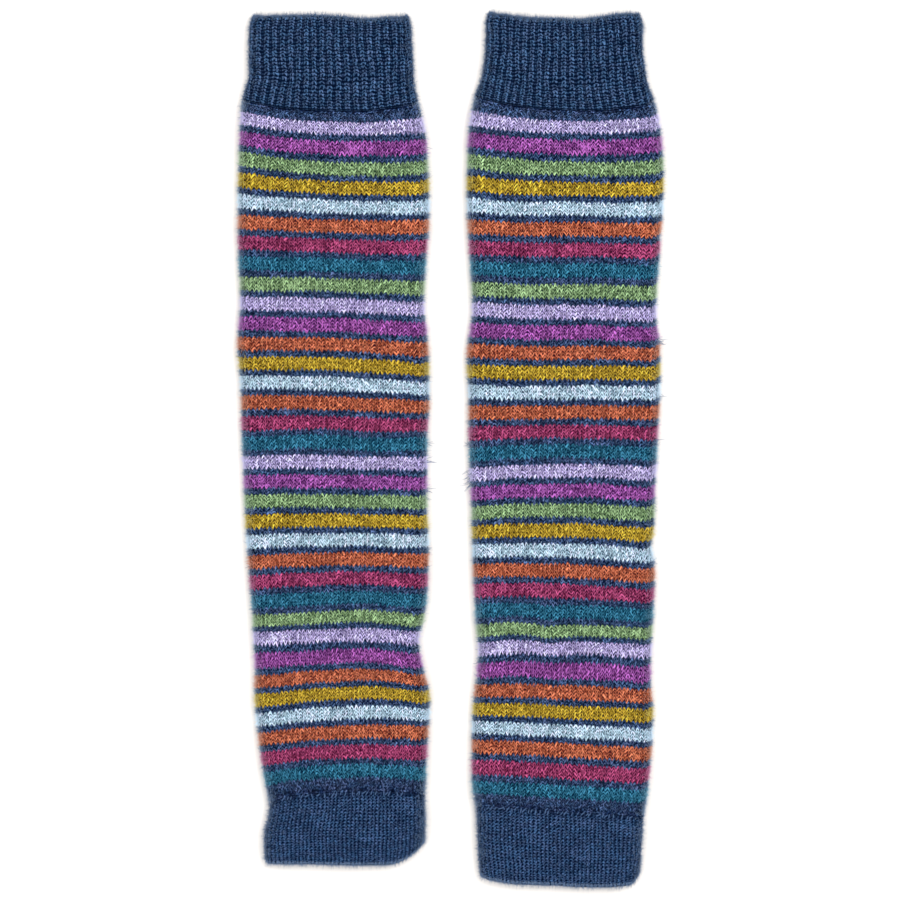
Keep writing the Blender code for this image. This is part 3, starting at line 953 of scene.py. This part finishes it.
def patchNode(tree, vector, patches, dimensions="3D"):
    # noise as patches of 1 on 0
    scale, detail, low, high = patches
    return stepNode(tree, noiseNode(tree, vector, scale, detail, dimensions), low, high)


def whiteNode(tree, vector):
    return addNode(tree, "ShaderNodeTexWhiteNoise", {"Vector": vector},
                   noise_dimensions="2D").outputs["Value"]


def splitNode(tree, vector):
    return addNode(tree, "ShaderNodeSeparateXYZ", {0: vector}).outputs


def vectorNode(tree, x, y):
    return addNode(tree, "ShaderNodeCombineXYZ", {0: x, 1: y}).outputs[0]


def scaledNode(tree, colour, scale):
    return addNode(tree, "ShaderNodeVectorMath", {0: colour, "Scale": scale}, operation="SCALE").outputs[0]


def gammaNode(tree, colour, gamma):
    return addNode(tree, "ShaderNodeGamma", {"Color": colour, "Gamma": gamma}).outputs[0]


def groupNode(tree, group, inputs):
    return addNode(tree, "ShaderNodeGroup", inputs, node_tree=group).outputs


def newGroup(name, inputs, outputs):
    group = bpy.data.node_groups.new(name, "ShaderNodeTree")
    for way, sockets in (("INPUT", inputs), ("OUTPUT", outputs)):
        for socketName, kind in sockets.items():
            group.interface.new_socket(name=socketName, in_out=way, socket_type="NodeSocket" + kind)
    return group, addNode(group, "NodeGroupInput").outputs, addNode(group, "NodeGroupOutput").inputs


def ovalNode(tree, p, q, oval):
    # its strength within the oval, and 0 outside it
    middleP, reachP, middleQ, reachQ, core, rim, strength = oval
    a = mathNode(tree, "DIVIDE", minus(tree, p, middleP), reachP)
    b = mathNode(tree, "DIVIDE", minus(tree, q, middleQ), reachQ)
    away = mathNode(tree, "SQRT", plus(tree, times(tree, a, a), times(tree, b, b)))
    return times(tree, stepNode(tree, away, rim, core), strength)


# These give the painted shade of the gaps between strands, from 0 to 1.
# Each of these is given the place in a stitch: from its edge to its middle, down its row, and across it.
def plainGaps(tree, p, q, inWale):
    # painted shade in thin gaps between the arms of the rows, and in a hole at each end of an arm
    toEdge = mathNode(tree, "MINIMUM", q, minus(tree, 1.0, q))
    start, full, strength = gaps["plainLine"]
    line = times(tree, stepNode(tree, toEdge, start, full), strength)
    return highest(tree, line, *(ovalNode(tree, p, toEdge, hole) for hole in gaps["plainHoles"]))


def ribGaps(tree, p, q, inWale):
    # painted shade but where lit: two strands for each rib, a bridge between them over a hole, and a furrow
    # beside them
    lit = (ovalNode(tree, p, q, gaps[name]) for name in ("ribStrand", "ribBridge", "ribFurrow"))
    return minus(tree, gaps["ribDepth"], highest(tree, *lit))


def hemGaps(tree, p, q, inWale):
    # painted shade in a slanted hole in the middle of each stitch, and fainter in one at its edge
    slanted = plus(tree, q, times(tree, minus(tree, inWale, 0.5), gaps["hemSlant"]))
    return highest(tree, ovalNode(tree, p, slanted, gaps["hemHole"]), ovalNode(tree, p, q, gaps["hemEdge"]))


def stitchGroup(name, gapsOf, seamShade, wanders, varied):
    # what a point of the knitting is: in a gap's painted shade or on a crest, which stitch's, and on a left
    # arm or not
    names = ("GapShade", "Each", "Fibre", "Height", "Left")
    tree, given, out = newGroup(name, {"Knit": "Vector"}, dict.fromkeys(names, "Float"))
    knit = given["Knit"]
    planned = splitNode(tree, knit)
    wander = noiseNode(tree, knit, *shading["wander"], "2D", "Color")
    away = addNode(tree, "ShaderNodeSeparateColor", {0: wander}).outputs
    wale, row = (plus(tree, planned[k], times(tree, minus(tree, away[k], 0.5), spread))
                 for k, spread in enumerate(wanders))
    q, inWale = (mathNode(tree, "FRACT", place) for place in (row, wale))
    p = minus(tree, 1.0, mathNode(tree, "ABSOLUTE", minus(tree, times(tree, inWale, 2.0), 1.0)))
    # gap: how much painted shade the yarn's colour gets here
    gap = gapsOf(tree, p, q, inWale)
    # painted shade beside the seams, in ragged patches
    ragged = patchNode(tree, knit, shading["seamPatches"], "2D")
    for course, (rows, depth) in seamShade.items():
        fromSeam = mathNode(tree, "ABSOLUTE", minus(tree, planned[1], float(course)))
        shade = times(tree, stepNode(tree, fromSeam, rows, 0.0), times(tree, ragged, depth))
        gap = highest(tree, gap, shade)
    arm = vectorNode(tree, mathNode(tree, "FLOOR", times(tree, wale, 2.0)), mathNode(tree, "FLOOR", row))
    each = plus(tree, 0.5 - varied / 2, times(tree, whiteNode(tree, arm), varied))
    fibrePlace = (times(tree, at, pitch) for at, pitch in zip((wale, row), shading["fibres"]))
    fibre = noiseNode(tree, vectorNode(tree, *fibrePlace), 1.0, 2.0, "2D")
    across, down, turn, proud = shading["twist"]
    twist = times(tree, plus(tree, times(tree, p, across), times(tree, q, down)), turn)
    height = plus(tree, times(tree, mathNode(tree, "SINE", twist), proud), fibre)
    onLeft = mathNode(tree, "LESS_THAN", inWale, 0.5)
    left = times(tree, onLeft, patchNode(tree, knit, shading["armPatches"], "2D"))
    for socket, value in zip(names, (gap, each, fibre, height, left)):
        put(tree, out[socket], value)
    return tree


def stripeGroup():
    # navy, or the stripe's own yarn, for each row
    tree, given, out = newGroup("stripes", {"Row": "Float", "Navy": "Color"}, {"Colour": "Color"})
    count = len(stripes["order"])
    steps = mathNode(tree, "DIVIDE", plus(tree, given["Row"], stripes["above"]), stripes["every"])
    number = mathNode(tree, "FLOOR", steps)
    coloured = mathNode(tree, "LESS_THAN", minus(tree, steps, number), stripes["rows"] / stripes["every"])
    for operation, limit in (("GREATER_THAN", 0.5), ("LESS_THAN", stripes["repeats"] * count + 0.5)):
        coloured = times(tree, coloured, mathNode(tree, operation, number, limit))
    place = mathNode(tree, "MODULO", minus(tree, number, 1.0), float(count))
    ramp = addNode(tree, "ShaderNodeValToRGB")
    ramp.color_ramp.interpolation = "CONSTANT"
    stops = ramp.color_ramp.elements
    stops.remove(stops[-1])
    for k, yarn in enumerate(stripes["order"]):
        stop = stops[0] if k == 0 else stops.new(k / count)
        stop.color = yarns[yarn]
    put(tree, ramp.inputs[0], mathNode(tree, "DIVIDE", plus(tree, place, 0.5), float(count)))
    put(tree, out["Colour"], mixNode(tree, "MIX", coloured, given["Navy"], ramp.outputs["Color"]))
    return tree


def yarnGroup():
    # the same yarn on the crests and from stitch to stitch, with painted shade in the gaps
    masks = dict.fromkeys(("GapShade", "Each", "Fibre", "Heather", "Left"), "Float")
    tree, given, out = newGroup("yarnShade", {"Colour": "Color", **masks}, {"Colour": "Color"})
    light = 1.0
    for name, low, spread in shading["light"]:
        light = times(tree, light, plus(tree, low, times(tree, given[name], spread)))
    crest = addNode(tree, "ShaderNodeVectorMath", {
        0: scaledNode(tree, given["Colour"], light), 1: shading["palest"]}, operation="MINIMUM").outputs[0]
    # painted shade: the yarn's colour darker and deeper on a gap's sides, and darkest at its bottom
    deep = gammaNode(tree, given["Colour"], shading["paintedShadeGamma"])
    paintedSideShade = mixNode(tree, "MULTIPLY", 1.0, deep, shading["paintedSideShade"])
    kept, added = shading["deepest"]
    deepest = mixNode(tree, "ADD", 1.0, mixNode(tree, "MULTIPLY", 1.0, deep, kept), added)
    colour = mixNode(tree, "MIX", stepNode(tree, given["GapShade"], *shading["sides"]), crest, paintedSideShade)
    colour = mixNode(tree, "MIX", stepNode(tree, given["GapShade"], *shading["bottom"]), colour, deepest)
    put(tree, out["Colour"], colour)
    return tree


def mottledNavy(tree, place, navy, amount):
    # heathered yarn: the same navy, lighter and darker, bluer and redder, from fibre to fibre
    tints = [[c * share for c, share in zip(navy[:3], shares)] + [1.0] for shares in shading["tints"]]
    tinted = mixNode(tree, "MIX", patchNode(tree, place, shading["tint"]), *tints)
    speckle = patchNode(tree, place, shading["speckle"])
    return scaledNode(tree, tinted, plus(tree, 1.0 - amount / 2, times(tree, speckle, amount)))


def newMaterial(name):
    material = bpy.data.materials.new(name)
    material.use_nodes = True
    tree = material.node_tree
    uv = addNode(tree, "ShaderNodeUVMap", uv_map="knit").outputs[0]
    return material, tree, tree.nodes["Principled BSDF"], uv


def setMatt(tree, shader, colour, sheen):
    for socket, value in (("Base Color", colour), ("Roughness", 0.95), ("Specular IOR Level", 0.0),
                          ("Sheen Weight", sheen), ("Sheen Roughness", 0.5)):
        put(tree, shader.inputs[socket], value)


def stripeColour(tree, uv, striped, navy):
    # each row's own yarn where the piece is striped
    if not striped:
        return navy
    return groupNode(tree, groups["stripes"], {"Row": splitNode(tree, uv)[1], "Navy": navy})[0]


def knitMaterial(name, striped, navy, amount, stitchTree):
    material, tree, shader, uv = newMaterial(name)
    place = addNode(tree, "ShaderNodeTexCoord").outputs["Object"]
    stitch = groupNode(tree, stitchTree, {"Knit": uv})
    masks = {socket: stitch[socket] for socket in ("GapShade", "Each", "Fibre", "Left")}
    masks["Heather"] = noiseNode(tree, place, *shading["heather"])
    colour = stripeColour(tree, uv, striped, mottledNavy(tree, place, yarns[navy], amount))
    setMatt(tree, shader, groupNode(tree, groups["yarnShade"], {"Colour": colour, **masks})[0], 0.0)
    strength, distance = shading["bump"]
    bump = addNode(tree, "ShaderNodeBump", {
        "Strength": strength, "Distance": distance, "Height": stitch["Height"]})
    put(tree, shader.inputs["Normal"], bump.outputs[0])
    return material


def fibreMaterial(name, striped, navy, paler):
    # the same yarns in single fibres, paler: partly as thin fibres that let more light through, partly
    # painted light on lit fuzz
    material, tree, shader, uv = newMaterial(name)
    colour = stripeColour(tree, uv, striped, yarns[navy])
    pale = mixNode(tree, "MULTIPLY", 1.0, gammaNode(tree, colour, shading["paleGamma"]), shading["pale"])
    alike = shading["alike"]
    amount = times(tree, plus(tree, whiteNode(tree, uv), alike), paler / (1 + alike))
    if striped:  # painted highlight: paler at the folds, where the fuzz stands in the light
        start, full, within = shading["paintedFoldHighlight"]
        paintedFoldHighlight = stepNode(tree, mathNode(tree, "ABSOLUTE", splitNode(tree, uv)[0]), start, full)
        amount = times(tree, amount, plus(tree, within, times(tree, paintedFoldHighlight, 1 - within)))
    setMatt(tree, shader, mixNode(tree, "MIX", amount, colour, pale), 0.03)
    return material


print("spinning the yarns")
groups = {"stripes": stripeGroup(), "yarnShade": yarnGroup()}
# For each seam its course, how many rows off it the painted shade starts and how dark it is; then how
# far the stitches wander across and along, and how much one differs from the next.
ribTree = stitchGroup("rib stitches", ribGaps, {0: (0.7, 0.85)}, (0.35, 0.75), 0.5)
plainTree = stitchGroup("plain stitches", plainGaps, {0: (1.1, 0.85), 211: (5.5, 0.55)}, (0.7, 1.0), 1.0)
hemTree = stitchGroup("hem stitches", hemGaps, {211: (2.0, 0.55)}, (0.35, 0.6), 0.6)
finishes = {  # striped or not, navy, how mottled it is, stitches
    "rib_navy": knitMaterial("rib_navy_yarn", False, "rib navy", 0.3, ribTree),
    "striped_leg": knitMaterial("striped_yarn", True, "navy", 1.2, plainTree),
    "hem_navy": knitMaterial("hem_navy_yarn", False, "hem navy", 0.45, hemTree),
}
fibreFinishes = {  # striped or not, navy, how much paler than the yarn, partly painted light
    "rib_navy": fibreMaterial("rib_navy_fibres", False, "rib navy", 0.38),
    "striped_leg": fibreMaterial("striped_fibres", True, "rib navy", 1.0),
    "hem_navy": fibreMaterial("hem_navy_fibres", False, "hem navy", 0.65),
    "loops": fibreMaterial("linking_yarn", False, "hem navy", 0.1),
    "ends": fibreMaterial("yarn_ends", True, "navy", 0.15),
    "strays": fibreMaterial("stray_yarn", False, "hem navy", 0.2),
}
for (sideName, stretchName), piece in pieces.items():
    piece.data.materials.append(finishes[stretches[stretchName]["slot"]])
for piece, finish in loosePieces:
    piece.data.materials.append(fibreFinishes[finish])


studio = {
    "floorSize": 3.0,
    "floorDrop": 0.2,  # mm
    "paper": (0.77, 0.75, 0.735, 1),
    "paperRoughness": 0.9,
    "frameWidth": 450.0,  # mm of the surface across the picture
    "cameraAbove": 3000.0,
    "sensor": 36.0,
    "pictureMiddle": (0.0, 0.0),  # mm in the frame of the sections
    "farClip": 10,
    "roomLight": (1.0, 0.985, 0.96, 1),
    "roomStrength": 1.35,
    "lamps": (("key", (0.8, 0.5, 1.6), 1.0, 15.0), ("fill", (-1.2, -0.4, 1.4), 1.4, 7.0)),
}


def makeStudio():
    bpy.ops.object.select_all(action="DESELECT")
    bpy.ops.mesh.primitive_plane_add(size=studio["floorSize"], location=(0, 0, -studio["floorDrop"] * mm))
    floor = bpy.context.object
    floor.name = "floor"
    paper = bpy.data.materials.new("pale_floor")
    paper.use_nodes = True
    shader = paper.node_tree.nodes["Principled BSDF"]
    shader.inputs["Base Color"].default_value = studio["paper"]
    shader.inputs["Roughness"].default_value = studio["paperRoughness"]
    floor.data.materials.append(paper)

    world = bpy.data.worlds.new("soft_room")
    world.use_nodes = True
    room = world.node_tree.nodes["Background"]
    room.inputs["Color"].default_value = studio["roomLight"]
    room.inputs["Strength"].default_value = studio["roomStrength"]
    bpy.context.scene.world = world
    for name, place, size, power in studio["lamps"]:
        bpy.ops.object.light_add(type="AREA", location=place)
        lamp = bpy.context.object
        lamp.name = name
        lamp.data.size = size
        lamp.data.energy = power
        lamp.rotation_euler = (-lamp.location).to_track_quat("-Z", "Y").to_euler()

    middle = [(at - centre) * mm for at, centre in zip(studio["pictureMiddle"], tube["centre"])]
    bpy.ops.object.camera_add(location=(*middle, studio["cameraAbove"] * mm))
    camera = bpy.context.object
    camera.data.sensor_width = studio["sensor"]
    camera.data.lens = studio["sensor"] * studio["cameraAbove"] / studio["frameWidth"]
    camera.data.clip_end = studio["farClip"]
    bpy.context.scene.camera = camera
    bpy.context.scene.view_settings.view_transform = "Standard"


print("setting up the studio")
makeStudio()
